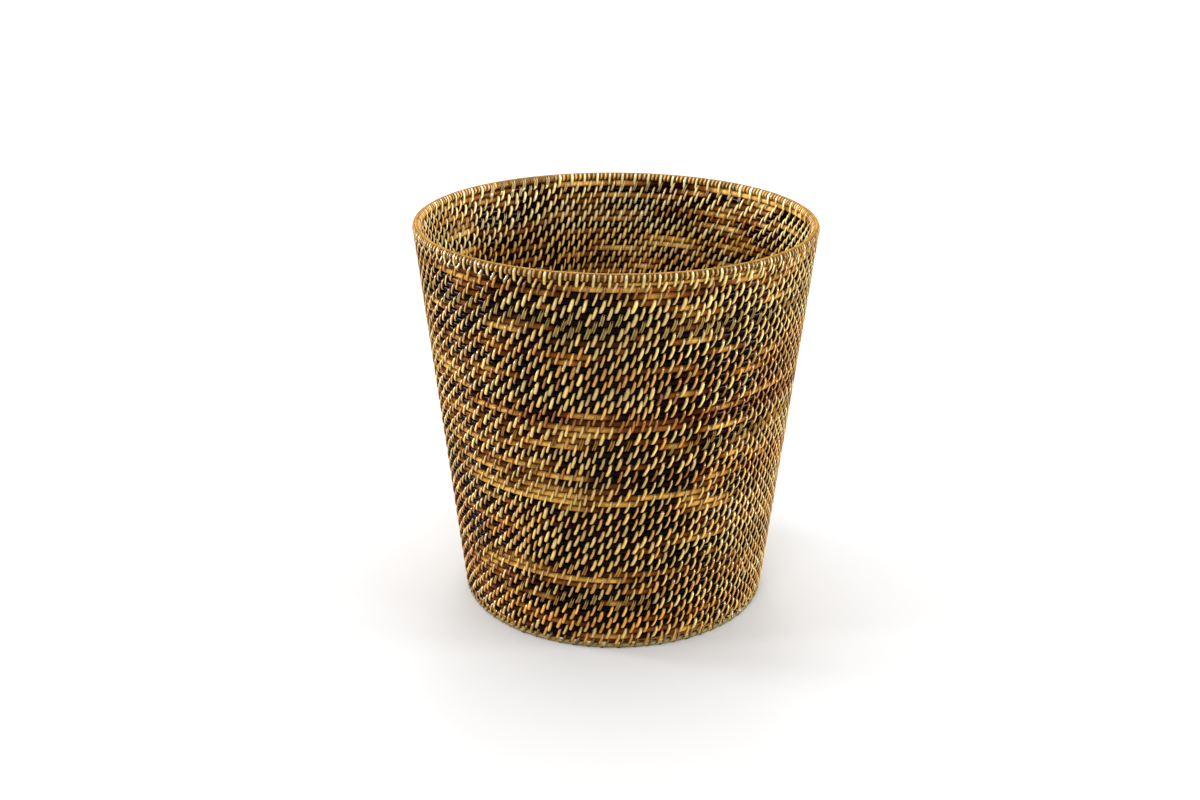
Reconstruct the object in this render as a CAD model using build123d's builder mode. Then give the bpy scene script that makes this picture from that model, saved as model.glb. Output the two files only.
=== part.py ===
"""A round, tapered waste basket coiled from rattan cane and bound with split cane.

One cane after another is coiled into a flat floor, and then up into the wall, and each course is
bound to the one before it. A bound course is two solids: the round core cane, and a thin sleeve
that stands for the binding wrapped round it, split along the side that lies against the course
before it. The foot and the rim are closed courses. The coils' ends are shaved to a taper, so that
the floor is round and the wall's edges are level. Both coils are made of half circles that run on
into each other. The origin is on the ground under the middle of the floor, with +Z up through the
mouth. Seen from above, the coils run clockwise from +Y.
"""

import math
import os

from build123d import *

# Driving dimensions, in millimetres.
rim_diameter = 305.0
foot_diameter = 241.0
height = 302.0

core_radius = 2.0
bound_radius = 2.48
rim_core_radius = 2.5
rim_bound_radius = 3.0
foot_bound_radius = 2.7
foot_centre_height = 2.4
floor_centre_height = 2.9

fit_gap = 0.04
course_gap = 0.1
tip_radius = 0.2

# How the coils are made up.
wall_half_turns = 114
wall_lengths = 12
floor_half_turns = 43
floor_lengths = 3

# Angles, in degrees. Each end of the wall's coil tapers over half a turn and the scarf angle.
seam_angle = 90.0
wall_scarf_angle = 54.0
floor_scarf_angle = 110.0
split_angle = 6.0
side_below = -90.0
side_within = 180.0

# The wall's centre line runs straight from the middle of the foot course to that of the rim course.
foot_radius = foot_diameter / 2 - foot_bound_radius
rim_radius = rim_diameter / 2 - rim_bound_radius
rim_centre_height = height - rim_bound_radius
wall_run = rim_radius - foot_radius
wall_rise = rim_centre_height - foot_centre_height
wall_slope = math.hypot(wall_run, wall_rise)
wall_lean = math.atan2(wall_run, wall_rise)

# Distances up that line, and from one course to the next.
wall_bottom = foot_bound_radius + course_gap / 2
wall_top = wall_slope - rim_bound_radius - course_gap / 2
wall_step = (wall_top - wall_bottom) / (wall_half_turns / 2 + 1)
first_course = wall_bottom + wall_step / 2
last_course = wall_top - wall_step / 2

# The floor's coil is half circles, centred in turn on the axis and half a step off it.
floor_step = 2 * bound_radius + course_gap
floor_last_radius = foot_radius - foot_bound_radius - bound_radius - course_gap
floor_first_radius = floor_last_radius - floor_step / 2 * (floor_half_turns - 1)

sleeve_thickness = bound_radius - core_radius


def save(piece, name):
    """Labels a finished piece and writes it to its own file."""
    piece.part.label = name
    export_step(piece.part, f"parts/{name}.step")


def up_the_wall(distance, side):
    """A point this far up the wall's centre line, on the +Y side (1) or the -Y side (-1)."""
    radius = foot_radius + distance * math.sin(wall_lean)
    return Vector(0, side * radius, foot_centre_height + distance * math.cos(wall_lean))


def wall_arc(start, rise, half_turn, first_angle=0.0, arc_size=180.0):
    """A half circle of a coil in the wall, or part of one, tipped to climb the rise."""
    side = 1 - 2 * (half_turn % 2)
    low = up_the_wall(start + half_turn * rise, side)
    high = up_the_wall(start + (half_turn + 1) * rise, -side)
    outward = (low - high) * 0.5
    downward = outward.cross(Vector(side, 0, 0))
    tipped = Plane(origin=(low + high) * 0.5, x_dir=outward, z_dir=downward)
    return tipped.location * CenterArc((0, 0), outward.length, first_angle, arc_size)


def floor_arc(half_turn, offset=floor_step / 2, arc_size=180.0):
    """A half circle of the floor's coil, or part of one. The odd ones have their centre offset."""
    radius = floor_first_radius + floor_step / 2 * half_turn
    if half_turn % 2 == 0:
        return CenterArc((0, 0, floor_centre_height), radius, seam_angle, -arc_size)
    radius += offset - floor_step / 2
    return CenterArc((0, offset, floor_centre_height), radius, -seam_angle, -arc_size)


def across(line, position):
    """The plane across a centre line, with its X axis pointing away from the basket's axis."""
    place = line @ position
    return Plane(origin=place, x_dir=(place.X, place.Y, 0), z_dir=line % position)


def core_section(plane, radius):
    """A core cane's section, in two half circles, which a tapered cane's surface follows closely."""
    with BuildSketch(plane) as section:
        with BuildLine():
            CenterArc((0, 0), radius, 0, 180)
            CenterArc((0, 0), radius, 180, 180)
        make_face()
    return section.sketch


def sleeve_section(plane, radius, split_side):
    """A sleeve's section: a thin ring round a core of this radius, split on one side."""
    arc_start = split_side + split_angle / 2
    arc_size = 360 - split_angle
    with BuildSketch(plane) as section:
        with BuildLine():
            inner = CenterArc((0, 0), radius + fit_gap, arc_start, arc_size)
            outer = CenterArc((0, 0), radius + sleeve_thickness, arc_start, arc_size)
            Line(inner @ 0, outer @ 0)
            Line(inner @ 1, outer @ 1)
        make_face()
    return section.sketch


def swept(lines, sections):
    """A section, or one section turning into another, carried along joined centre lines."""
    with BuildPart() as piece:
        with BuildLine() as path:
            add(lines)
        sweep(sections, path.wire(), multisection=len(sections) > 1)
    return piece


def make_bound_cane(place, number, lines, split_side, radii=(core_radius,)):
    """Makes a length of core cane and its sleeve, with one radius or with one at each end."""
    ends = [across(lines[0], 0), across(lines[-1], 1)]
    cores = [core_section(end, radius) for end, radius in zip(ends, radii)]
    sleeves = [sleeve_section(end, radius, split_side) for end, radius in zip(ends, radii)]
    save(swept(lines, cores), f"{place}_core{number}")
    save(swept(lines, sleeves), f"{place}_binding{number}")


os.makedirs("parts", exist_ok=True)

# The floor: a curled and tapered start, lengths of coil, and a taper that rounds the floor off.
make_bound_cane("floor_start", "", [floor_arc(-1)], side_within, (tip_radius, core_radius))

# Each length ends where the area within it is its share of the floor, on a whole half turn.
for index in range(floor_lengths):
    first = round(floor_half_turns * math.sqrt(index / floor_lengths))
    last = round(floor_half_turns * math.sqrt((index + 1) / floor_lengths))
    arcs = [floor_arc(half_turn) for half_turn in range(first, last)]
    make_bound_cane("floor", f"_{index + 1}", arcs, side_within)

floor_end = floor_arc(floor_half_turns, floor_step / 4, floor_scarf_angle)
make_bound_cane("floor_end", "", [floor_end], side_within, (core_radius, tip_radius))

# The foot: a closed course with a flat underside, which the basket stands on.
with BuildPart() as foot_core:
    with BuildSketch(Plane.XZ):
        with Locations((foot_radius, foot_centre_height)):
            Circle(core_radius)
    revolve(axis=Axis.Z)
save(foot_core, "foot_core")

with BuildPart() as foot_binding:
    with BuildSketch(Plane.XZ):
        with Locations((foot_radius, foot_centre_height)):
            Circle(foot_bound_radius)
            Circle(core_radius + fit_gap, mode=Mode.SUBTRACT)
        with Locations((foot_radius, 0)):
            Rectangle(
                2 * foot_bound_radius,
                foot_bound_radius,
                align=(Align.CENTER, Align.MAX),
                mode=Mode.SUBTRACT,
            )
    revolve(axis=Axis.Z)
save(foot_binding, "foot_binding")

# The wall: a tapered start on the foot, lengths of coil, and a tapered end under the rim.
wall_start = [
    wall_arc(wall_bottom, wall_step / 4, 0, 180 - wall_scarf_angle, wall_scarf_angle),
    wall_arc(wall_bottom, wall_step / 4, 1),
]
make_bound_cane("wall_start", "", wall_start, side_below, (tip_radius, core_radius))

for index in range(wall_lengths):
    first = round(wall_half_turns * index / wall_lengths)
    last = round(wall_half_turns * (index + 1) / wall_lengths)
    arcs = [wall_arc(first_course, wall_step / 2, half_turn) for half_turn in range(first, last)]
    make_bound_cane("wall", f"_{index + 1:02d}", arcs, side_below)

wall_end = [
    wall_arc(last_course, wall_step / 4, 0),
    wall_arc(last_course, wall_step / 4, 1, 0, wall_scarf_angle),
]
make_bound_cane("wall_end", "", wall_end, side_below, (core_radius, tip_radius))

# The rim: a closed course of thicker cane, the widest part of the basket.
with BuildPart() as rim_core:
    with BuildSketch(Plane.XZ):
        with Locations((rim_radius, rim_centre_height)):
            Circle(rim_core_radius)
    revolve(axis=Axis.Z)
save(rim_core, "rim_core")

with BuildPart() as rim_binding:
    with BuildSketch(Plane.XZ):
        with Locations((rim_radius, rim_centre_height)):
            Circle(rim_bound_radius)
            Circle(rim_core_radius + fit_gap, mode=Mode.SUBTRACT)
    revolve(axis=Axis.Z)
save(rim_binding, "rim_binding")
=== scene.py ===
"""A coiled rattan waste basket, in the frame of its CAD model.

Each CAD node, a length of core cane or its binding, is replaced by one detailed mesh piece in the
same place. A cane is a slightly uneven rod along its coil. A binding is one continuous strip of
split cane, which winds down the outside over its own course and the one before it, through the
weave, and back up the inside.

A place in the weave has three coordinates: the turns along the coil, the distance up from the
middle of its course towards the next one, and the distance out from the weave's middle surface.
"""

import math

import bpy
import numpy as np
from mathutils import Matrix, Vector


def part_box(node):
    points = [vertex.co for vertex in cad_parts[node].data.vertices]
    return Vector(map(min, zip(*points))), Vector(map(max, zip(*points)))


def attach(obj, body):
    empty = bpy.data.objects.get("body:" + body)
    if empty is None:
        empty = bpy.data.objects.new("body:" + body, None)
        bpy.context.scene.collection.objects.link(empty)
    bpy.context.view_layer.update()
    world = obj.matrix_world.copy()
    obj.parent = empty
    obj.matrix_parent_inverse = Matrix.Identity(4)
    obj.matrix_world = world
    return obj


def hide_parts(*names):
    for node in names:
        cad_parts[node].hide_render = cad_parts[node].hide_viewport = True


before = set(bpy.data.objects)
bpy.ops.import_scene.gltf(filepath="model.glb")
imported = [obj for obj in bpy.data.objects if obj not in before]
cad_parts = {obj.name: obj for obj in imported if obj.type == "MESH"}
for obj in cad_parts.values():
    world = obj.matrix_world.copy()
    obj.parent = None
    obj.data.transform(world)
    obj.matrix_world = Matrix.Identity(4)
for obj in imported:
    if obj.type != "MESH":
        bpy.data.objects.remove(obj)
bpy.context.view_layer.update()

# How the coils are made up, as in the CAD model.
wall_turns = 57
wall_lengths = 12
floor_turns = 21.5
floor_lengths = 3
floor_scarf_turns = 110 / 360
tip_share = 0.1

# The wall's shaved ends are drawn out further than in the CAD model, so that no gap shows there.
scarf_turns = 0.95

# Canes are pressed together: how many times larger each is towards its neighbours, and how much
# larger still, in metres, beside the wall's shaved ends.
squeeze = 1.02
closing = 0.0003

# The binding: the spacing of its stitches, and its strip, in metres. It is thinner on the rim, and
# thinnest on the foot and the floor, where there is least room.
stitch_spacing = 0.0109
strip_width = 0.00235
strip_thickness = 0.00085
rim_strip_thickness = 0.0006
foot_strip_thickness = 0.00034

# Places and sizes, read from the frame.
foot_low, foot_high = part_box("foot_core")
rim_low, rim_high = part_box("rim_core")
floor_low, floor_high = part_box("floor_core_3")
core_radius = (foot_high[2] - foot_low[2]) / 2
rim_core_radius = (rim_high[2] - rim_low[2]) / 2
foot_z = (foot_low[2] + foot_high[2]) / 2
rim_z = (rim_low[2] + rim_high[2]) / 2
floor_z = (floor_low[2] + floor_high[2]) / 2
foot_radius = foot_high[0] - core_radius
rim_radius = rim_high[0] - rim_core_radius
wall_lean = math.atan2(rim_radius - foot_radius, rim_z - foot_z)
wall_slope = math.hypot(rim_radius - foot_radius, rim_z - foot_z)
first_course = (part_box("wall_core_01")[0][2] + core_radius - foot_z) / math.cos(wall_lean)
last_course = (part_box("wall_core_12")[1][2] - core_radius - foot_z) / math.cos(wall_lean)
wall_step = (last_course - first_course) / wall_turns
rim_drop = wall_slope - last_course
floor_last_radius = floor_high[0] - core_radius
floor_splits = [
    round(2 * floor_turns * math.sqrt(index / floor_lengths)) for index in range(floor_lengths + 1)
]
# The widest half circles of two lengths, both centred on the axis, are whole steps apart.
widest = [(last - 1) // 2 * 2 for last in (floor_splits[1], floor_splits[-1])]
floor_growth = floor_high[0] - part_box("floor_core_1")[1][0]
floor_step = floor_growth / (widest[1] - widest[0]) * 2

seed = 11
random = np.random.default_rng(seed)

# Keeps a place on a whole half turn in its own half turn, and a length from being nothing.
tiny = 1e-9


# ---- Places in the weave ----

def points(x, y, z):
    """Points from their coordinates, each of which may be an array or one value for all."""
    return np.stack(np.broadcast_arrays(x, y, z), axis=-1)


def on_wall(slope, along, up, out):
    """A place on the cone of the wall, from a distance up its slope."""
    slope = slope + up
    radius = foot_radius + slope * math.sin(wall_lean) + out * math.cos(wall_lean)
    z = foot_z + slope * math.cos(wall_lean) - out * math.sin(wall_lean)
    angle = math.pi / 2 - 2 * math.pi * along
    return points(radius * np.cos(angle), radius * np.sin(angle), z)


def climb(along):
    """How far the wall's coil has climbed, in courses. Each half turn is a tipped half circle."""
    half_turn = np.floor(2 * along + tiny)
    return (half_turn + (1 - np.cos(math.pi * (2 * along - half_turn))) / 2) / 2


def wall_place(along, up, out):
    """A place on the wall's coil, between its shaved ends."""
    return on_wall(first_course + wall_step * climb(along), along, up, out)


def wall_start_place(along, up, out):
    """The wall's shaved start, before turn 0, which lies in a wedge half as steep."""
    return on_wall(first_course + wall_step / 2 * climb(along), along, up, out)


def wall_end_place(along, up, out):
    """The wall's shaved end, which climbs half as steeply from the last course."""
    return on_wall(last_course + wall_step / 2 * climb(along - wall_turns), along, up, out)


def rim_place(along, up, out):
    """A place on the rim, a level course at the top of the wall."""
    return on_wall(wall_slope, along, up, out)


def floor_place(along, up, out):
    """A place on the floor, whose coil is half circles centred in turn on and off the axis.

    Up is away from the axis here, and out is down.
    """
    half_turn = np.floor(2 * along + tiny)
    odd = half_turn % 2
    radius = floor_last_radius + floor_step / 2 * (half_turn - 2 * floor_turns + 1) + up
    angle = math.pi / 2 - 2 * math.pi * along
    y = odd * floor_step / 2 + radius * np.sin(angle)
    return points(radius * np.cos(angle), y, floor_z - out)


def floor_end_place(along, up, out):
    """The floor's shaved end, centred a quarter of a step off the axis."""
    radius = floor_last_radius + floor_step / 4 + up
    angle = math.pi / 2 - 2 * math.pi * along
    y = floor_step / 4 + radius * np.sin(angle)
    return points(radius * np.cos(angle), y, floor_z - out)


def foot_place(along, up, out):
    """The foot is bound as the floor's next course, and lies a little lower."""
    lowered = np.clip(1 + up / floor_step, 0, 1) * (floor_z - foot_z)
    angle = math.pi / 2 - 2 * math.pi * along
    radius = foot_radius + up
    return points(radius * np.cos(angle), radius * np.sin(angle), floor_z - out - lowered)


# ---- Meshes ----

def ring_mesh(name, rings, closed, attributes):
    """A smooth tube through rings of an even number of points, capped unless it is closed."""
    count, around = rings.shape[:2]
    first = np.arange(count * around).reshape(count, around)
    following = np.roll(first, -1, axis=0)
    if not closed:
        first, following = first[:-1], following[:-1]
    sides = np.stack(
        [first, np.roll(first, -1, axis=1), np.roll(following, -1, axis=1), following], axis=-1
    ).reshape(-1, 4)
    faces = [sides]
    if not closed:
        across = range(around // 2 - 1)
        cap = np.array([[i, i + 1, around - 2 - i, around - 1 - i] for i in across])
        faces += [cap[:, ::-1], cap + (count - 1) * around]
    quads = np.concatenate(faces)
    mesh = bpy.data.meshes.new(name)
    mesh.vertices.add(count * around)
    mesh.vertices.foreach_set("co", rings.astype(np.float32).ravel())
    mesh.loops.add(quads.size)
    mesh.loops.foreach_set("vertex_index", quads.astype(np.int32).ravel())
    mesh.polygons.add(len(quads))
    mesh.polygons.foreach_set("loop_start", np.arange(0, quads.size, 4, dtype=np.int32))
    mesh.update(calc_edges=True)
    mesh.polygons.foreach_set("use_smooth", np.ones(len(quads), dtype=bool))
    for label, values in attributes.items():
        layer = mesh.attributes.new(label, "FLOAT_VECTOR", "POINT")
        layer.data.foreach_set("vector", values.astype(np.float32).ravel())
    return mesh


def add_piece(name, mesh, material):
    """Puts a piece in the scene, riding on the basket, in place of the CAD node of its name."""
    piece = bpy.data.objects.new(name + "_detail", mesh)
    bpy.context.scene.collection.objects.link(piece)
    mesh.materials.append(material)
    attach(piece, "root")
    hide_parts(name)


def smooth_through(rows, steps):
    """A Catmull-Rom curve through rows of numbers, with this many steps to each row."""
    padded = np.concatenate([2 * rows[:1] - rows[1:2], rows, 2 * rows[-1:] - rows[-2:-1]])
    before, start, end, after = padded[:-3], padded[1:-2], padded[2:-1], padded[3:]
    share = (np.arange(steps) / steps)[None, :, None]
    before, start, end, after = (part[:, None, :] for part in (before, start, end, after))
    curve = 0.5 * (
        2 * start
        + (end - before) * share
        + (2 * before - 5 * start + 4 * end - after) * share**2
        + (3 * start - before - 3 * end + after) * share**3
    )
    return np.concatenate([curve.reshape(-1, rows.shape[1]), rows[-1:]])


# ---- Colour of the cane ----

# In linear red, green and blue. The core cane runs from char to honey, at these stops of its tone.
straw = np.array([0.53, 0.372, 0.122])
orange = np.array([0.46, 0.205, 0.032])
red_brown = np.array([0.25, 0.080, 0.008])
char = np.array([0.0014, 0.0005, 0.0002])
umber = np.array([0.012, 0.0014, 0.0003])
chestnut = np.array([0.15, 0.042, 0.004])
honey = np.array([0.50, 0.250, 0.045])
tone_colours = np.stack([char, umber, chestnut, honey])
tone_stops = np.array([0.0, 0.35, 0.6, 0.9])

# The core cane's tone: its middle, and how far it varies over the wall in broad and in fine waves,
# and along each cane from knot to knot, with the knots this far apart in metres.
middle_tone = 0.33
broad_spread = 0.08
fine_spread = 0.10
drift_spread = 0.30
drift_length = 0.024
fewest_knots = 4

# A cane of one colour drifts in brightness instead, by this share.
tint_drift = 0.25

# Painted light: how much paler the cane is painted on the inside, and how pale it can get.
inside_painted_light = np.array([1.8, 1.95, 2.6])
palest = np.array([0.85, 0.76, 0.56])

# Dark patches and golden bands in the core cane: degrees to the right of the front, share of the
# height, half width in degrees, half height as a share, and how far they pull the tone.
patches = [
    (-8, 0.86, 34, 0.030, -0.25),
    (-10, 0.76, 30, 0.040, -0.30),
    (-2, 0.70, 30, 0.030, -0.40),
    (0, 0.615, 24, 0.018, 0.34),
    (-6, 0.55, 26, 0.014, 0.22),
    (4, 0.50, 34, 0.025, -0.25),
    (-17, 0.42, 36, 0.018, 0.34),
    (6, 0.37, 34, 0.025, -0.30),
    (-2, 0.26, 40, 0.030, -0.30),
    (4, 0.16, 36, 0.030, -0.30),
    (0, 0.03, 180, 0.020, 0.05),
    (0, 0.975, 180, 0.014, 0.30),
    (-60, 0.75, 30, 0.080, 0.20),
    (-44, 0.48, 24, 0.140, 0.12),
    (-40, 0.14, 28, 0.080, 0.12),
    (60, 0.55, 30, 0.150, 0.12),
]


def bearing_of(along):
    """Degrees to the right of the front, from -180 to 180."""
    return ((0.5 - along) * 360 + 180) % 360 - 180


def wander(along, height, waves):
    """Smooth seeded variation over the wall, mostly between -1 and 1."""
    total = np.zeros_like(along)
    for around, up, phase in waves:
        total += np.sin(2 * math.pi * (around * along + up * height) + phase)
    return total / math.sqrt(len(waves))


def make_waves(count, most_around, most_up):
    """Seeded waves for wander: whole waves round the wall, waves up it, and where they start."""
    around = random.integers(-most_around, most_around + 1, count)
    up = random.uniform(-most_up, most_up, count)
    phase = random.uniform(0, 2 * math.pi, count)
    return list(zip(around, up, phase))


broad_waves = make_waves(7, 3, 6.0)
fine_waves = make_waves(9, 9, 16.0)


def drift(spread, count, knots):
    """A value that drifts about 0, from knot to knot along a cane, spread evenly over it."""
    values = spread * random.standard_normal(knots)
    return np.interp(np.linspace(0, 1, count), np.linspace(0, 1, knots), values)


def cane_tone(along, height, row_drift):
    """The core cane's tone at places along a coil, from 0 for char to 1 for honey."""
    tone = middle_tone + broad_spread * wander(along, height, broad_waves)
    tone = tone + fine_spread * wander(along, height, fine_waves)
    bearing = bearing_of(along)
    for middle, level, half_width, half_height, pull in patches:
        across = ((bearing - middle) / half_width) ** 4
        upward = ((height - level) / half_height) ** 2
        tone = tone + pull * np.exp(-across - upward)
    return np.clip(tone + row_drift, 0, 1)


def cane_colour(tone):
    """The core cane's colour at each tone."""
    channels = [np.interp(tone, tone_stops, tone_colours[:, channel]) for channel in range(3)]
    return np.stack(channels, axis=-1)


# ---- Materials ----

# Fibres and mottling are noise over the grain: how closely they lie along the cane, across it, and
# from one piece to the next, their detail, and how dark and how bright they make the tint.
fibre_closeness = (60, 1, 1)
fibre_detail = 3
fibre_range = (0.68, 1.22)
mottle_closeness = (180, 0.6, 1)
mottle_scale = 1.0
mottle_detail = 2
mottle_range = (0.74, 1.20)

# Most of the noise is within this range.
noise_range = (0.3, 0.7)

# Fibres raise the surface, by this share of this depth in metres.
fibre_relief = 0.35
fibre_depth = 0.0002

# The cane, and the varnish on what stands out, between these levels of shine.
cane_roughness = 0.5
varnish_roughness = 0.08
varnish_range = (0.4, 0.9)

floor_grey = 0.58
floor_roughness = 0.9


def new_material(name):
    """A new material, and its main shader."""
    material = bpy.data.materials.new(name)
    material.use_nodes = True
    return material, material.node_tree.nodes["Principled BSDF"]


def cane_material(name, fibre_scale, varnish):
    """Cane in the piece's own tint, with fibres along it, mottling and varnish."""
    material, shader = new_material(name)
    nodes, links = material.node_tree.nodes, material.node_tree.links

    def attribute(label):
        node = nodes.new("ShaderNodeAttribute")
        node.attribute_name = label
        return node.outputs

    def multiply(first, second):
        product = nodes.new("ShaderNodeVectorMath")
        product.operation = "MULTIPLY"
        links.new(first, product.inputs[0])
        if isinstance(second, tuple):
            product.inputs[1].default_value = second
        else:
            links.new(second, product.inputs[1])
        return product.outputs[0]

    def noise(closeness, scale, detail):
        texture = nodes.new("ShaderNodeTexNoise")
        texture.inputs["Scale"].default_value = scale
        texture.inputs["Detail"].default_value = detail
        links.new(multiply(grain, closeness), texture.inputs["Vector"])
        return texture.outputs["Fac"]

    def remap(value, before, after):
        change = nodes.new("ShaderNodeMapRange")
        change.inputs["From Min"].default_value = before[0]
        change.inputs["From Max"].default_value = before[1]
        change.inputs["To Min"].default_value = after[0]
        change.inputs["To Max"].default_value = after[1]
        links.new(value, change.inputs["Value"])
        return change.outputs["Result"]

    grain = attribute("grain")["Vector"]
    fibres = noise(fibre_closeness, fibre_scale, fibre_detail)
    mottle = noise(mottle_closeness, mottle_scale, mottle_detail)
    colour = multiply(attribute("tint")["Color"], remap(fibres, noise_range, fibre_range))
    colour = multiply(colour, remap(mottle, noise_range, mottle_range))
    coat = remap(attribute("shine")["Fac"], varnish_range, (0, varnish))
    links.new(colour, shader.inputs["Base Color"])
    links.new(coat, shader.inputs["Coat Weight"])
    shader.inputs["Roughness"].default_value = cane_roughness
    shader.inputs["Specular IOR Level"].default_value = 0
    shader.inputs["Coat Roughness"].default_value = varnish_roughness
    bump = nodes.new("ShaderNodeBump")
    bump.inputs["Strength"].default_value = fibre_relief
    bump.inputs["Distance"].default_value = fibre_depth
    links.new(fibres, bump.inputs["Height"])
    links.new(bump.outputs["Normal"], shader.inputs["Normal"])
    return material


def floor_material():
    """The plain pale floor."""
    material, shader = new_material("pale_floor")
    shader.inputs["Base Color"].default_value = (floor_grey, floor_grey, floor_grey, 1)
    shader.inputs["Roughness"].default_value = floor_roughness
    return material


core_material = cane_material("core_cane", fibre_scale=5.0, varnish=0.10)
strip_material = cane_material("binding_cane", fibre_scale=7.0, varnish=0.9)


# ---- Core canes ----

# A cane's mesh: points round its section, rings to each stitch's spacing, and the fewest rings.
around_cane = 10
cane_rings = 5
fewest_rings = 24

# A cane's thickness across the weave drifts from knot to knot, this many rings apart.
unevenness = 0.04
uneven_rings = 18
thinnest, thickest = 0.9, 1.08

# A closed cane's last rings are brought to the thickness of its first.
joining_rings = 6
joining_start = 0.15

# Painted shade in the grooves between canes: how bright it is, and how sharply it clears.
groove_painted_shade = 0.05
groove_falloff = 2.0

# A painted highlight along the top of the rim's cane: how exposed it counts as there, and
# how sharply that falls off.
painted_top_highlight = 2.8
top_falloff = 4

# How far the grain goes round a cane's section, and how far it may differ between canes.
cane_grain_width = 0.6
grain_offset = 50


def both_faces(angle):
    """How exposed a cane is around its section: fully on its two faces, and not in the grooves."""
    return np.abs(np.sin(angle))


def faces_and_top(angle):
    """The same, and much more along the top, which has a painted highlight that makes it pale."""
    return np.maximum(both_faces(angle), painted_top_highlight * np.clip(np.cos(angle), 0, 1) ** top_falloff)


# On the foot, the rest of its section, its underside too, is darkened as painted shade.
def top_only(angle):
    """Exposed only away from the course before: on the foot, that is its outer side."""
    return np.clip(np.cos(angle), 0, 1)


def make_cane(
    name, place, start, end, shares, size, height_of=None, tint=None, closed=False,
    exposed=both_faces,
):
    """A length of core cane from one turn to another, squeezed oval between its neighbours.

    The size is its radius towards its neighbours and across the weave, and the shares are how much
    of it is left at the two ends. Its colour is its tint, or else the wall's at the height that
    height_of gives. It is darkened with painted shade where it isn't exposed, and painted paler on
    its inner face as painted light.
    """
    middle = place(np.array([start]), 0.0, 0.0)[0]
    length = abs(end - start) * 2 * math.pi * math.hypot(middle[0], middle[1])
    count = max(fewest_rings, int(length / (stitch_spacing / cane_rings)))
    along = np.linspace(start, end, count, endpoint=not closed)
    share = np.linspace(shares[0], shares[1], count)
    uneven = 1 + unevenness * drift(1, count, max(fewest_knots, count // uneven_rings))
    uneven = np.clip(uneven, thinnest, thickest)
    if closed:
        joining = np.linspace(joining_start, 1, joining_rings)
        uneven[-joining_rings:] += (uneven[0] - uneven[-joining_rings:]) * joining
    angle = np.linspace(0, 2 * math.pi, around_cane, endpoint=False)
    rings = place(
        along[:, None] + 0 * angle,
        (share * size[0])[:, None] * np.cos(angle),
        (share * size[1] * uneven)[:, None] * np.sin(angle),
    )
    row_drift = drift(drift_spread, count, max(fewest_knots, int(length / drift_length)))
    if tint is None:
        colour = cane_colour(cane_tone(along, height_of(along), row_drift))
    else:
        colour = np.tile(tint, (count, 1)) * (1 + tint_drift * row_drift[:, None])
    # Painted shade darkens the cane where it isn't exposed, in the grooves between canes; the same
    # shine masks the varnish.
    shine = exposed(angle) ** groove_falloff
    painted_shade = groove_painted_shade + (1 - groove_painted_shade) * shine
    # Painted light: the inner face is painted paler.
    painted_light = np.where(np.sin(angle)[:, None] < 0, inside_painted_light, 1)
    metres = np.linspace(0, length, count)
    round_cane = np.sin(angle) * cane_grain_width
    offset = random.uniform(0, grain_offset)
    grain = np.stack(np.broadcast_arrays(metres[:, None], round_cane, offset), axis=-1)
    attributes = {
        "tint": np.minimum(colour[:, None] * painted_shade[:, None] * painted_light, palest),
        "grain": grain,
        "shine": np.broadcast_to(shine[:, None], rings.shape),
    }
    add_piece(name, ring_mesh(name, rings, closed, attributes), core_material)


# ---- Bindings ----

# One stitch, from its top on the outside down to where it goes through the weave. Each row is the
# share of the spacing gone along, then how far up and out it is. A long stitch is measured in its
# own course's radius, the drop to the course before, and that course's radius; a short stitch, in
# its own course's radius alone.
stitch_face = [
    # share, own up, drop up, other up, own out, other out, short up, short out
    (-0.135, 0.85, 0.0, 0.00, 0.50, 0.00, 0.86, 0.50),
    (-0.080, 0.00, 0.0, 0.00, 1.00, 0.00, 0.10, 1.00),
    (0.000, 0.00, -0.5, 0.00, 0.52, 0.52, -0.40, 0.92),
    (0.080, 0.00, -1.0, 0.15, 0.00, 1.00, -0.75, 0.66),
    (0.135, 0.00, -1.0, -0.55, 0.00, 0.62, -0.95, 0.31),
]
stitch_foot = (0.250, 0.00, -1.0, -0.75, 0.00, 0.00, -1.00, 0.00)
stitch_head = (0.750, 0.95, 0.0, 0.00, 0.00, 0.00, 1.00, 0.00)

# The back of a stitch mirrors its face, half a spacing further on. A row of a stitch becomes some
# rings of the strip.
outward = np.array([1, 1, 1, 1, -1, -1, 1, -1])
back_face = [
    tuple(np.array(row) * outward + np.array([0.5 - 2 * row[0], 0, 0, 0, 0, 0, 0, 0]))
    for row in reversed(stitch_face)
]
stitch_loop = np.array(stitch_face + [stitch_foot] + back_face + [stitch_head])
steps_per_row = 2

# How unevenly the stitches are spaced, as a share of their spacing, and how far they reach.
spacing_jitter = 0.045
reach_jitter = 0.02

# Where a course has room for another stitch, the next one after it waits this many stitches.
fewest_between = 5
most_between = 15

# The strip's width where it goes through the weave, as a share of its width on the faces, and how
# far out it has to be to have its whole width, in its course's radius.
narrowest = 0.72
whole_width_out = 0.9

# Strips are laid out as if no nearer to the axis than this, in metres.
least_radius = 0.005

# The strip's section, in its half width and its thickness: flat beneath and crowned above. Painted
# shade darkens it along its edges and where it goes through the weave, and its crown carries a faint
# painted highlight.
strip_section = np.array(
    [
        (-0.75, -0.5), (0.75, -0.5), (1, -0.3), (0.78, 0.2),
        (0.3, 0.5), (-0.3, 0.5), (-0.78, 0.2), (-1, -0.3),
    ]
)
strip_painted_shade = np.array([0.15, 0.15, 0.2, 0.52, 1.05, 1.05, 0.52, 0.2])
through_painted_shade = 0.15

# The painted shade clears from this far out, in its course's radius, and this steeply.
painted_shade_start = 0.25
painted_shade_slope = 2.2

# A painted highlight: how much paler the rim's strips are painted over their tops.
top_highlight_gain = np.array([1.5, 2.6, 8.0])
top_highlight_falloff = 3

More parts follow.
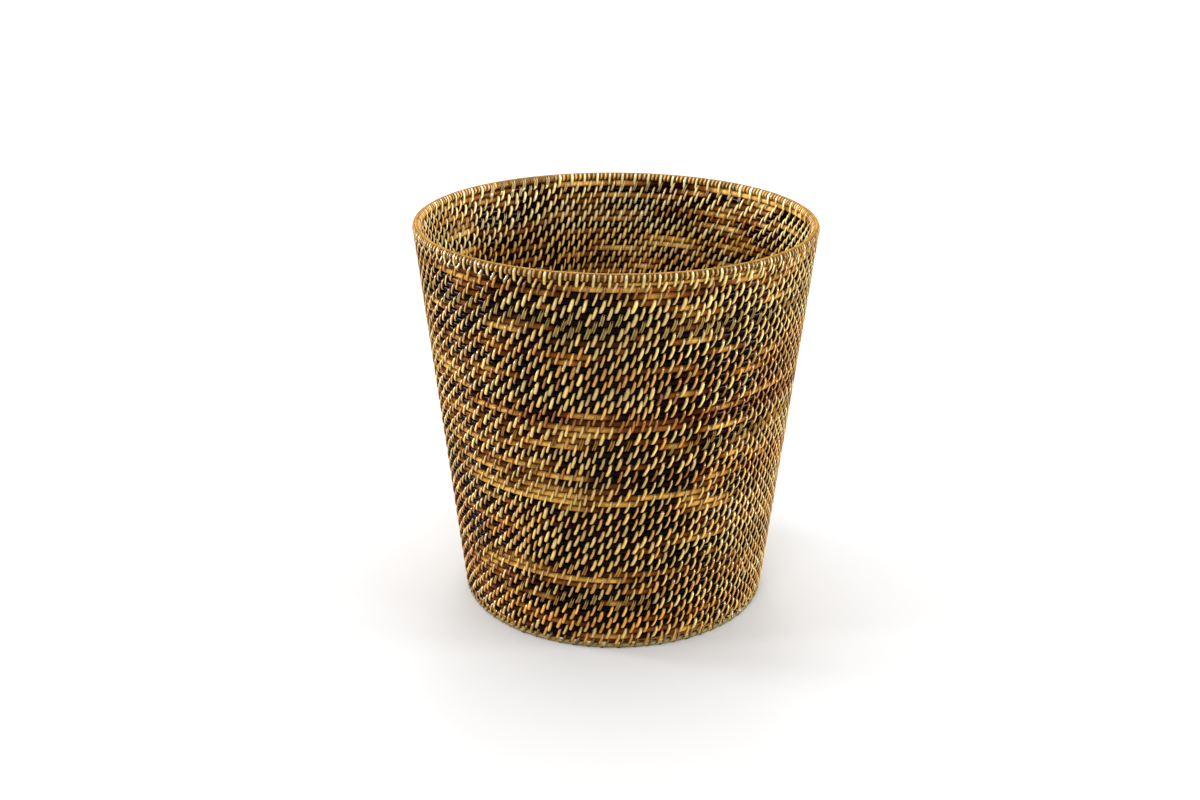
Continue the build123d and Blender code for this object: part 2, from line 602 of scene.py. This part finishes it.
# How far the grain goes across half a strip, and from one stitch to the next.
strip_grain_width = 0.9
stitch_grain_step = 0.37

# Each strip makes a run of stitches. It is straw, or else mostly orange, with some of the other
# colour mixed in, and it has its own brightness and width.
shortest_run = 7
longest_run = 32
orange_share = 0.8
most_mixed = 0.35
dimmest, brightest = 0.8, 1.15
run_width_spread = 0.13
narrowest_run, widest_run = 0.7, 1.25

# Each stitch differs from its run too.
stitch_tint_spread = 0.16
stitch_width_spread = 0.07
darkest_tint, palest_tint = 0.003, 0.9

# Where a strip has split into two strands, its crown is a groove instead, darkened with painted
# shade, and its sides are painted lighter. This share of the strips has split, and this share of
# their stitches.
split_share = 0.08
split_stitches = 0.8
split_painted_shade = np.array([1, 1, 1.4, 1.3, 0.3, 0.3, 1.3, 1.4])
split_drop = np.array([0, 0, 0.1, 0.1, -0.7, -0.7, 0.1, 0.1])


def stitch_places(first_count, count_after, turns):
    """Where the stitches are along a coil, in turns. Each is midway between two of the turn before.

    Where a turn has room for another stitch, two go between a pair instead of one.
    """
    spacing = 1 / (first_count - 0.5)
    places = [spacing * (index + 0.5) for index in range(first_count)]
    pair, wait = 0, 0
    while places[-1] < turns:
        gap = places[pair + 1] - places[pair]
        middle = 1 + places[pair] + gap / 2
        if len(places) - pair < count_after(middle) and wait <= 0:
            places += [middle - gap / 4, middle + gap / 4]
            wait = int(random.integers(fewest_between, most_between))
        else:
            places.append(middle)
        pair, wait = pair + 1, wait - 1
    places = np.array([place for place in places if place < turns])
    return places + spacing_jitter * np.gradient(places) * random.standard_normal(len(places))


def strip_looks(count, straw_shares, width):
    """Each stitch's colour, width and split, which mostly hold over the run that one strip makes.

    The straw shares, one for each stitch, say how likely a run that starts there is to be straw.
    """
    tints = np.zeros((count, 3))
    widths = np.zeros(count)
    splits = np.zeros(count)
    start = 0
    while start < count:
        end = min(count, start + int(random.integers(shortest_run, longest_run)))
        share = straw_shares[start]
        pick = random.random()
        base, other = red_brown, orange
        if pick < share:
            base = straw
        elif pick < share + (1 - share) * orange_share:
            base, other = orange, straw
        mixed = base + (other - base) * random.uniform(0, most_mixed)
        tints[start:end] = mixed * random.uniform(dimmest, brightest)
        own_width = np.clip(random.normal(1, run_width_spread), narrowest_run, widest_run)
        widths[start:end] = width * own_width
        splits[start:end] = random.random() < split_share
        start = end
    tints *= 1 + stitch_tint_spread * random.standard_normal((count, 1))
    widths *= 1 + stitch_width_spread * random.standard_normal(count)
    splits *= random.random(count) < split_stitches
    return np.clip(tints, darkest_tint, palest_tint), widths, splits


def strip_line(along, own_mid, other_mid, drop, widths, reach):
    """The middle of a strip, as its turns, its distances up and out, and its width.

    It lies at own_mid from the middle of its own course and at other_mid from the other's. Each
    stitch's reach is 1 if it goes to the other course, and 0 if only round its own.
    """
    spacing = np.diff(along, append=2 * along[-1] - along[-2])
    share, own_up, drop_up, other_up, own_out, other_out, short_up, short_out = (
        stitch_loop.T[:, None, :]
    )
    slack = 1 + reach_jitter * random.standard_normal((len(along), 1))
    long_up = own_up * own_mid + drop_up * drop * slack + other_up * other_mid
    long_out = own_out * own_mid + other_out * other_mid
    up = reach * long_up + (1 - reach) * short_up * own_mid
    out = reach * long_out + (1 - reach) * short_out * own_mid
    turns = along[:, None] + share * spacing[:, None]
    whole = np.clip(np.abs(out) / own_mid / whole_width_out, 0, 1)
    width = widths[:, None] * (narrowest + (1 - narrowest) * whole)
    controls = np.stack([turns, up, out, width], axis=-1).reshape(-1, 4)
    return smooth_through(controls, steps_per_row).T


def strip_rings(place, line, split, thickness):
    """A strip's rings of points, laid across its line, and how far along it each ring is."""
    turns, up, out, width = line
    middle = place(turns, up, out)
    per_turn = 2 * math.pi * np.maximum(np.hypot(middle[:, 0], middle[:, 1]), least_radius)
    ahead = np.stack([np.gradient(turns) * per_turn, np.gradient(up), np.gradient(out)], axis=-1)
    ahead /= np.linalg.norm(ahead, axis=-1, keepdims=True)
    face = np.stack([np.zeros_like(up), ahead[:, 2], -ahead[:, 1]], axis=-1)
    face /= np.linalg.norm(face, axis=-1, keepdims=True) + tiny
    side = np.cross(ahead, face)
    across, through = strip_section.T
    through = through + split * split_drop
    local = (
        side[:, None] * (across[:, None] * width[:, None, None] / 2)
        + face[:, None] * (through[:, :, None] * thickness)
    )
    rings = place(
        turns[:, None] + local[..., 0] / per_turn[:, None],
        up[:, None] + local[..., 1],
        out[:, None] + local[..., 2],
    )
    length = np.cumsum(np.linalg.norm(np.diff(middle, axis=0, prepend=middle[:1]), axis=1))
    return rings, length


def strip_attributes(up, out, radius, tints, split, top_highlight):
    """A strip's tint and shine at each point, from its distances up and out at each ring."""
    # Painted shade where the strip goes through the weave, across its section and in a split's
    # groove.
    risen = np.clip((np.abs(out) / radius - painted_shade_start) * painted_shade_slope, 0, 1)
    buried = through_painted_shade + (1 - through_painted_shade) * risen
    painted_shade = buried[:, None] * strip_painted_shade * (1 + split * (split_painted_shade - 1))
    # Painted light: paler on the inside.
    painted_light = 1 + (inside_painted_light - 1) * np.clip(-out / radius, 0, 1)[:, None]
    # Painted highlight over the top of its own cane.
    painted_light *= 1 + top_highlight * np.clip(up / radius, 0, 1)[:, None] ** top_highlight_falloff
    tint = np.minimum((tints * painted_light)[:, None] * painted_shade[:, :, None], palest)
    return tint, np.clip(painted_shade, 0, 1)[:, :, None]


def make_binding(
    name, place, along, own, other, drop, looks, thickness=strip_thickness, reach=None, top_highlight=0,
):
    """A continuous strip wound through the stitches given by their turns along the coil.

    It goes round its own cane, and round the other one, a drop below: own and other are their radii.
    Over the top of its own cane it is paler, a painted highlight, by the gain given for each colour.
    """
    tints, widths, splits = looks
    count = len(along)
    reach = np.ones(count) if reach is None else reach
    own, other, drop = (np.broadcast_to(value, count) for value in (own, other, drop))
    own_mid, other_mid, drop, reach = (
        value[:, None] for value in (own + thickness / 2, other + thickness / 2, drop, reach)
    )
    line = strip_line(along, own_mid, other_mid, drop, widths, reach)
    rings_per_stitch = len(stitch_loop) * steps_per_row
    stitch_of = np.minimum(np.arange(line.shape[1]) // rings_per_stitch, count - 1)
    split = splits[stitch_of][:, None]
    rings, length = strip_rings(place, line, split, thickness)
    tint, shine = strip_attributes(line[1], line[2], own_mid.mean(), tints[stitch_of], split, top_highlight)
    across = strip_section[:, 0] * strip_grain_width
    grain = np.broadcast_arrays(length[:, None], across, (stitch_of * stitch_grain_step)[:, None])
    attributes = {
        "tint": tint,
        "grain": np.stack(grain, axis=-1),
        "shine": np.broadcast_to(shine, rings.shape),
    }
    add_piece(name, ring_mesh(name, rings, False, attributes), strip_material)


# ---- The basket ----

# The share of straw strips on the wall: as it usually is, how much more there is at the top, from
# which share of the height and over how much of it, and how far it varies, within its limits.
usual_straw = 0.50
more_straw = 0.30
straw_from, straw_over = 0.75, 0.2
straw_spread = 0.22
least_straw, most_straw = 0.05, 0.95

# The share of straw on the pieces that aren't the wall's coil.
wall_start_straw = 0.3
wall_end_straw = 0.8
rim_straw = 0.7
foot_straw = 0.85
floor_straw = 0.5

# The height, as a share of the wall, whose colours the cane of an end or of the floor has.
wall_start_height = 0.02
wall_end_height = 0.98
floor_height = 0.4

# The rim is dark, with this many stitches to each of the wall's. All but one of them are short,
# and orange between these levels of brightness. Their spacing and their widths vary.
rim_tint = honey * 0.12
rim_stitches_each = 3
rim_dimmest, rim_brightest = 0.45, 1.0
rim_spacing_jitter = 0.08
short_width, long_width = 0.95, 1.1

# The foot is pale between the darker stitches of the wall's start. Its own strips are wider.
foot_tint = straw * 0.36
foot_widening = 2.6
foot_spacing_jitter = 0.05
wall_start_brightness = 0.25

# The floor has at least this many stitches to a turn. Those near its middle reach less far, from
# this share of a step at the first stitch, and the curled start's strip is narrower.
fewest_stitches = 4
first_drop = 0.5
curl_narrowing = 0.7


def wall_height(along):
    """How far up the wall's coil is at each turn, as a share of the wall."""
    return (first_course + wall_step * along) / wall_slope


def fixed_height(share):
    """The same height for every turn, as a share of the wall."""
    return lambda along: np.full_like(along, share)


def straw_share(along, height):
    """How much of the wall's binding is straw, in patches, with the most near the rim."""
    share = usual_straw + more_straw * np.clip((height - straw_from) / straw_over, 0, 1)
    share = share + straw_spread * wander(along, height, broad_waves)
    return np.clip(share, least_straw, most_straw)


def wall_stitch_count(turn):
    """How many stitches fit round the wall at a turn of its coil."""
    slope = first_course + wall_step * turn
    radius = foot_radius + slope * math.sin(wall_lean)
    return round(2 * math.pi * radius / stitch_spacing)


def floor_stitch_count(turn):
    """How many stitches fit round the floor at a turn of its coil."""
    radius = floor_last_radius - floor_step * (floor_turns - turn)
    return max(fewest_stitches, round(2 * math.pi * radius / stitch_spacing))


def tapered(share):
    """A shaved cane's radius, as a share of a whole one, at each share of the way from its tip."""
    return tip_share + (1 - tip_share) * np.clip(share, 0, 1)


def even_looks(count, share, width=strip_width):
    """The looks of strips that are straw as often at one stitch as at another."""
    return strip_looks(count, np.full(count, share), width)


# The canes' sizes: the radius towards their neighbours, and the one across the weave.
course_half = wall_step / 2 * squeeze
wall_cane = (course_half, core_radius)
end_cane = (course_half + closing, core_radius)
rim_cane = (rim_drop - course_half + closing, rim_core_radius)
floor_cane = (floor_step / 2 * squeeze, core_radius)


def make_wall():
    """The wall's coil, in its lengths of cane. Its stitches run on from one to the next."""
    stitches = stitch_places(wall_stitch_count(0), wall_stitch_count, wall_turns)
    shares = straw_share(stitches, wall_height(stitches))
    looks = strip_looks(len(stitches), shares, strip_width)
    for index in range(wall_lengths):
        number = f"{index + 1:02d}"
        start = round(2 * wall_turns * index / wall_lengths) / 2
        end = round(2 * wall_turns * (index + 1) / wall_lengths) / 2
        make_cane(f"wall_core_{number}", wall_place, start, end, (1, 1), wall_cane, wall_height)
        here = (stitches >= start) & (stitches < end)
        make_binding(
            f"wall_binding_{number}", wall_place, stitches[here], core_radius, core_radius,
            wall_step, [look[here] for look in looks],
        )


def make_wall_start():
    """The wall's shaved start, whose strips go down round the foot."""
    stitches = np.arange(-scarf_turns, 0, 1 / wall_stitch_count(0))
    share = tapered(1 + stitches / scarf_turns)
    looks = even_looks(len(stitches), wall_start_straw)
    looks[0][:] *= wall_start_brightness
    make_cane(
        "wall_start_core", wall_start_place, -scarf_turns, 0, (tip_share, 1), end_cane,
        fixed_height(wall_start_height),
    )
    make_binding(
        "wall_start_binding", wall_start_place, stitches, core_radius * share, core_radius,
        course_half * (1 + share), looks,
    )


def make_wall_end():
    """The wall's shaved end, under the rim."""
    stitches = wall_turns + np.arange(0, scarf_turns, 1 / wall_stitch_count(wall_turns))
    share = tapered(1 - (stitches - wall_turns) / scarf_turns)
    make_cane(
        "wall_end_core", wall_end_place, wall_turns, wall_turns + scarf_turns, (1, tip_share),
        end_cane, fixed_height(wall_end_height),
    )
    make_binding(
        "wall_end_binding", wall_end_place, stitches, core_radius * share, core_radius,
        course_half * (1 + share), even_looks(len(stitches), wall_end_straw),
    )


def make_rim():
    """The rim, wrapped more densely than the wall: one stitch in three goes to the course below."""
    count = rim_stitches_each * wall_stitch_count(wall_turns)
    is_long = np.arange(count) % rim_stitches_each == 1
    stitches = (np.arange(count) + random.normal(0, rim_spacing_jitter, count)) / count
    tints, widths, splits = even_looks(count, rim_straw)
    short_count = np.count_nonzero(~is_long)
    tints[~is_long] = orange * random.uniform(rim_dimmest, rim_brightest, (short_count, 1))
    widths *= np.where(is_long, long_width, short_width)
    make_cane(
        "rim_core", rim_place, 0, 1, (1, 1), rim_cane, tint=rim_tint, closed=True,
        exposed=faces_and_top,
    )
    make_binding(
        "rim_binding", rim_place, stitches, rim_core_radius, core_radius, rim_drop,
        (tints, widths, splits),
        thickness=rim_strip_thickness, reach=is_long.astype(float), top_highlight=top_highlight_gain,
    )


def make_foot():
    """The foot, bound with thin strips to the floor's last course."""
    count = wall_stitch_count(0)
    jitter = random.normal(0, foot_spacing_jitter / count, count)
    stitches = np.arange(count) / count + jitter
    looks = even_looks(count, foot_straw, strip_width * foot_widening)
    make_cane(
        "foot_core", foot_place, 0, 1, (1, 1), floor_cane, tint=foot_tint, closed=True,
        exposed=top_only,
    )
    make_binding(
        "foot_binding", foot_place, stitches, core_radius, core_radius, floor_step, looks,
        thickness=foot_strip_thickness,
    )


def make_floor():
    """The floor's coil, in its lengths of cane."""
    stitches = stitch_places(floor_stitch_count(0), floor_stitch_count, floor_turns)
    looks = even_looks(len(stitches), floor_straw)
    drops = floor_step * np.clip(first_drop + stitches, first_drop, 1)
    for index in range(floor_lengths):
        start, end = floor_splits[index] / 2, floor_splits[index + 1] / 2
        make_cane(
            f"floor_core_{index + 1}", floor_place, start, end, (1, 1), floor_cane,
            fixed_height(floor_height),
        )
        here = (stitches >= start) & (stitches < end)
        make_binding(
            f"floor_binding_{index + 1}", floor_place, stitches[here], core_radius, core_radius,
            drops[here], [look[here] for look in looks], thickness=foot_strip_thickness,
        )


def make_floor_start():
    """The floor's curled and shaved start, half a turn with a stitch at each of these turns."""
    stitches = np.array([-0.42, -0.25, -0.08])
    make_cane(
        "floor_start_core", floor_place, -0.5, 0, (tip_share, 1), floor_cane,
        fixed_height(floor_height),
    )
    make_binding(
        "floor_start_binding", floor_place, stitches, core_radius * tapered(1 + 2 * stitches),
        core_radius / 2, floor_step / 2,
        even_looks(len(stitches), floor_straw, strip_width * curl_narrowing),
        thickness=foot_strip_thickness,
    )


def make_floor_end():
    """The floor's shaved end, which rounds it off."""
    spacing = 1 / floor_stitch_count(floor_turns)
    stitches = floor_turns + np.arange(0, floor_scarf_turns, spacing)
    share = tapered(1 - (stitches - floor_turns) / floor_scarf_turns)
    make_cane(
        "floor_end_core", floor_end_place, floor_turns, floor_turns + floor_scarf_turns,
        (1, tip_share), floor_cane, fixed_height(floor_height),
    )
    make_binding(
        "floor_end_binding", floor_end_place, stitches, core_radius * share, core_radius,
        floor_step / 2 * (1 + share), even_looks(len(stitches), floor_straw),
        thickness=foot_strip_thickness,
    )


# The order matters, because they all draw from the same seeded random numbers.
make_wall()
make_wall_start()
make_wall_end()
make_rim()
make_foot()
make_floor()
make_floor_start()
make_floor_end()


# ---- Floor, light and camera ----

# The ground reaches this far each way, in metres.
ground_reach = 6

# Distant studio lights: degrees to the right of the camera, degrees up, strength, and how many
# degrees wide each is. The small ones put the glints on the varnish.
lights = {
    "overhead": (180, 70, 2.2, 60),
    "behind": (180, 45, 0.5, 20),
    "front": (-8, 38, 1.6, 40),
    "left_side": (-104, 8, 4.0, 18),
    "left_glints": (-80, 8, 1.8, 8),
    "right_side": (86, 8, 3.6, 18),
    "right_glints": (66, 8, 1.2, 8),
}
world_strength = 0.5

# The camera stands in front, a little over a metre away, and looks down into the mouth. Distances
# are in metres, angles in radians unless they are converted, and the lens in millimetres.
camera_distance = 1.080
camera_height = 0.579
camera_pitch = math.radians(21.49)
camera_yaw = 0.0106
camera_roll = 0.0035
lens_length = 44.07
sensor_width = 36


def make_ground():
    """The pale floor that the basket stands on."""
    near, far = -ground_reach, ground_reach
    corners = [(near, near, 0), (far, near, 0), (far, far, 0), (near, far, 0)]
    mesh = bpy.data.meshes.new("ground")
    mesh.from_pydata(corners, [], [(0, 1, 2, 3)])
    mesh.materials.append(floor_material())
    ground = bpy.data.objects.new("ground", mesh)
    bpy.context.scene.collection.objects.link(ground)


def add_light(name, bearing, elevation, strength, width):
    """A distant light, from a bearing to the right of the camera."""
    lamp = bpy.data.objects.new(name, bpy.data.lights.new(name, "SUN"))
    lamp.data.energy = strength
    lamp.data.angle = math.radians(width)
    turn = Matrix.Rotation(math.radians(bearing), 4, "Z")
    lamp.matrix_world = turn @ Matrix.Rotation(math.radians(90 - elevation), 4, "X")
    bpy.context.scene.collection.objects.link(lamp)


def make_world():
    """The plain white light all round."""
    world = bpy.data.worlds.new("studio")
    world.use_nodes = True
    background = world.node_tree.nodes["Background"]
    background.inputs["Color"].default_value = (1, 1, 1, 1)
    background.inputs["Strength"].default_value = world_strength
    bpy.context.scene.world = world


def make_camera():
    """The camera, where it has the photograph's view."""
    camera = bpy.data.objects.new("camera", bpy.data.cameras.new("camera"))
    camera.data.lens = lens_length
    camera.data.sensor_width = sensor_width
    camera.matrix_world = (
        Matrix.Translation((0, -camera_distance, camera_height))
        @ Matrix.Rotation(camera_yaw, 4, "Z")
        @ Matrix.Rotation(math.pi / 2 - camera_pitch, 4, "X")
        @ Matrix.Rotation(camera_roll, 4, "Z")
    )
    bpy.context.scene.collection.objects.link(camera)
    bpy.context.scene.camera = camera


make_ground()
for name, light in lights.items():
    add_light(name, *light)
make_world()
make_camera()
bpy.context.scene.view_settings.view_transform = "Standard"
